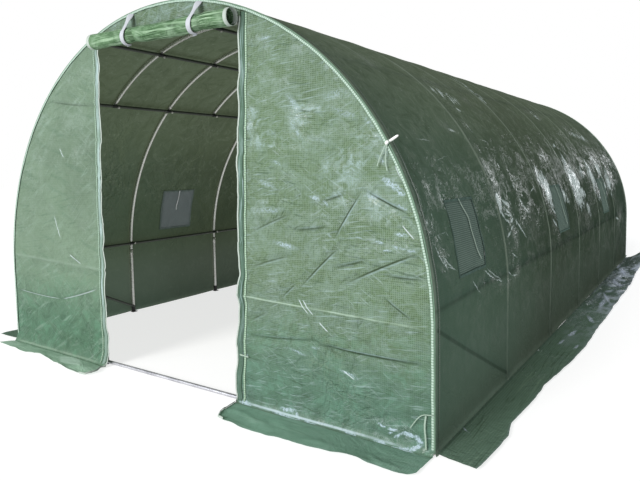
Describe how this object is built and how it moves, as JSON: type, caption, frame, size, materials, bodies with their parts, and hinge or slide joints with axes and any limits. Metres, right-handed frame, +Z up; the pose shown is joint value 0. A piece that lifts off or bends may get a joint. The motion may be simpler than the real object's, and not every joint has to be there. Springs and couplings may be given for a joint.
{
  "type": "polytunnel greenhouse",
  "caption": "Walk-in polytunnel greenhouse: half-round tube hoops on short legs, purlins, green fabric cover with screened windows, ground skirts and a roll-up front door.",
  "frame": {"origin": "on the ground at the middle of the footprint", "axes": "+X across the tunnel, +Y from the front gable to the rear gable, +Z up"},
  "size_m": [3.464, 6.464, 2],
  "materials": {
    "galvanised_tube": "dull galvanised",
    "dark_tube": "satin",
    "foot_plastic": "matte",
    "green_cover": "reinforced film with a soft gloss",
    "skirt_cover": "reinforced film with a soft gloss",
    "window_mesh": "fine mesh",
    "white_webbing": "woven"
  },
  "bodies": {
    "root": {"cover_band_left": "green_cover", "cover_band_right": "green_cover", "cover_crown_left": "green_cover", "cover_crown_right": "green_cover", "cover_shoulder_left": "green_cover", "cover_shoulder_right": "green_cover", "cover_wall_left": "green_cover", "cover_wall_right": "green_cover", "door_straps": "white_webbing", "front_braces": "dark_tube", "front_gable_bars": "dark_tube", "front_header": "green_cover", "front_hoop": "galvanised_tube", "front_panel_left": "green_cover", "front_panel_right": "green_cover", "front_posts": "dark_tube", "front_sill_bar": "galvanised_tube", "front_skirt_left": "skirt_cover", "front_skirt_right": "skirt_cover", "half_arches": "galvanised_tube", "hoop_2": "galvanised_tube", "hoop_3": "galvanised_tube", "hoop_4": "galvanised_tube", "hoop_5": "galvanised_tube", "hoop_6": "galvanised_tube", "hoop_feet": "foot_plastic", "post_feet": "foot_plastic", "rear_braces": "dark_tube", "rear_door": "green_cover", "rear_gable_bars": "dark_tube", "rear_header": "green_cover", "rear_hoop": "galvanised_tube", "rear_panel_left": "green_cover", "rear_panel_right": "green_cover", "rear_posts": "dark_tube", "rear_sill_bar": "galvanised_tube", "rear_skirt_left": "skirt_cover", "rear_skirt_right": "skirt_cover", "ridge_purlin": "dark_tube", "rolled_door": "green_cover", "shoulder_purlin_left": "dark_tube", "shoulder_purlin_right": "dark_tube", "skirt_left": "skirt_cover", "skirt_right": "skirt_cover", "upper_purlin_left": "dark_tube", "upper_purlin_right": "dark_tube", "waist_purlin_left": "dark_tube", "waist_purlin_right": "dark_tube", "window_screens_left": "window_mesh", "window_screens_right": "window_mesh", "window_ties": "white_webbing"}
  },
  "joints": []
}
